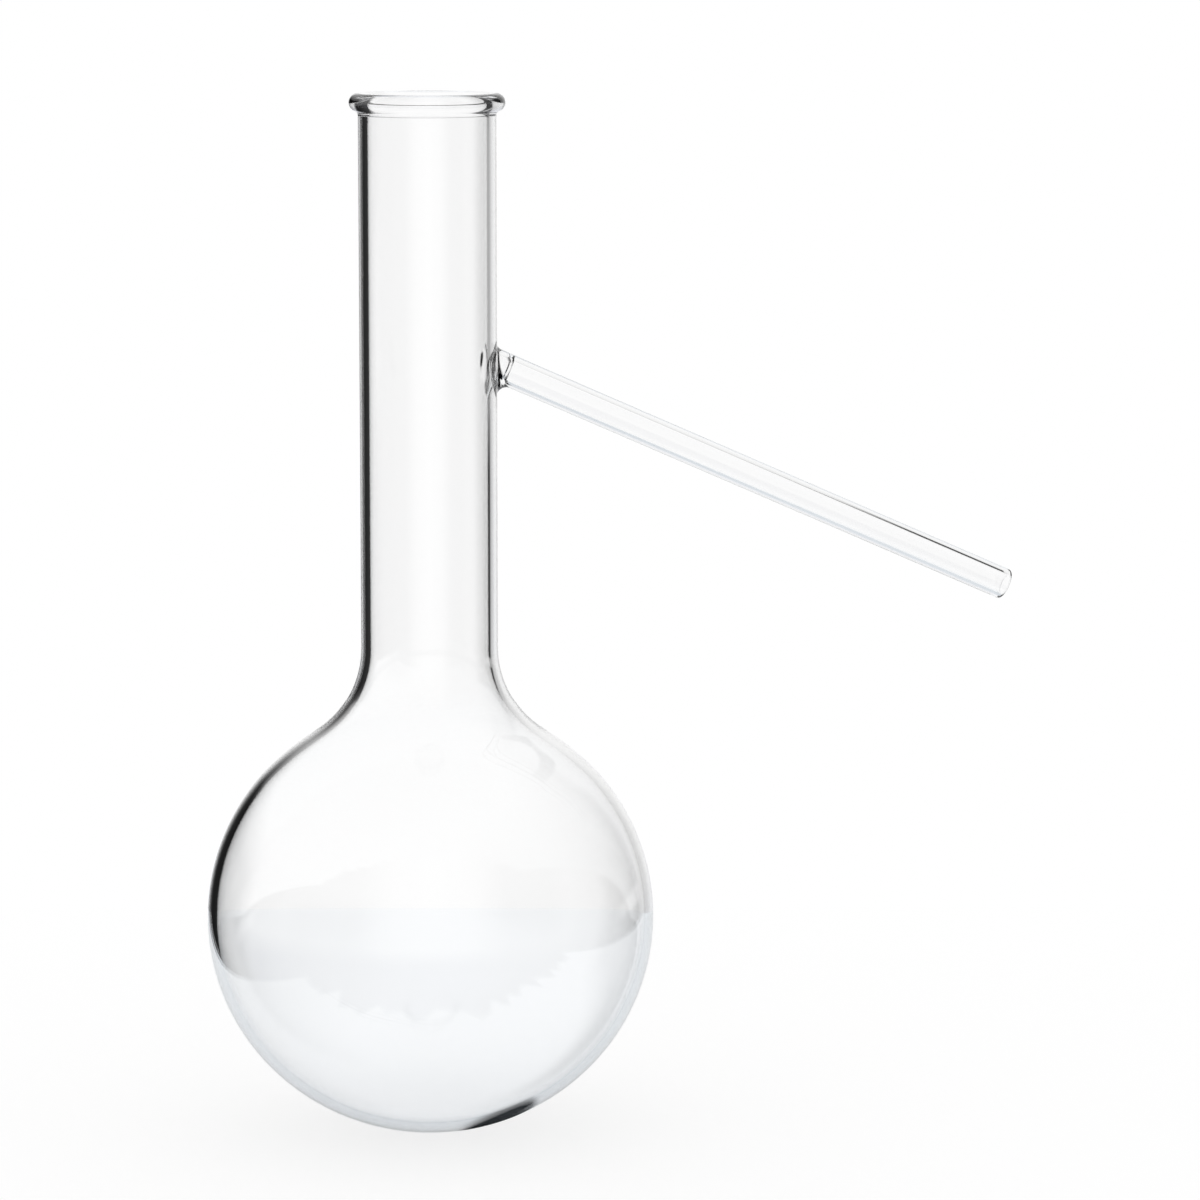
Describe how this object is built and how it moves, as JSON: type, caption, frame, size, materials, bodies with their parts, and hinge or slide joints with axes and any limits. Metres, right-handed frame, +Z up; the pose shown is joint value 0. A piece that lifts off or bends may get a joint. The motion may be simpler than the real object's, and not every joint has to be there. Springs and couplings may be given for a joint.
{
  "type": "distillation flask",
  "caption": "Clear glass distillation flask with a round bulb, a long straight neck, a rolled rim and a fused side arm that slopes down, for leading vapour to a condenser.",
  "frame": {"origin": "lowest point of the round bulb, on the neck's axis", "axes": "+Z up along the neck's axis, towards the rim; the side arm lies over +X in the XZ plane; +Y across"},
  "size_m": [0.1945, 0.105, 0.244],
  "materials": {
    "glass": "clear polished borosilicate glass"
  },
  "bodies": {
    "root": {"flask": "glass"}
  },
  "joints": []
}
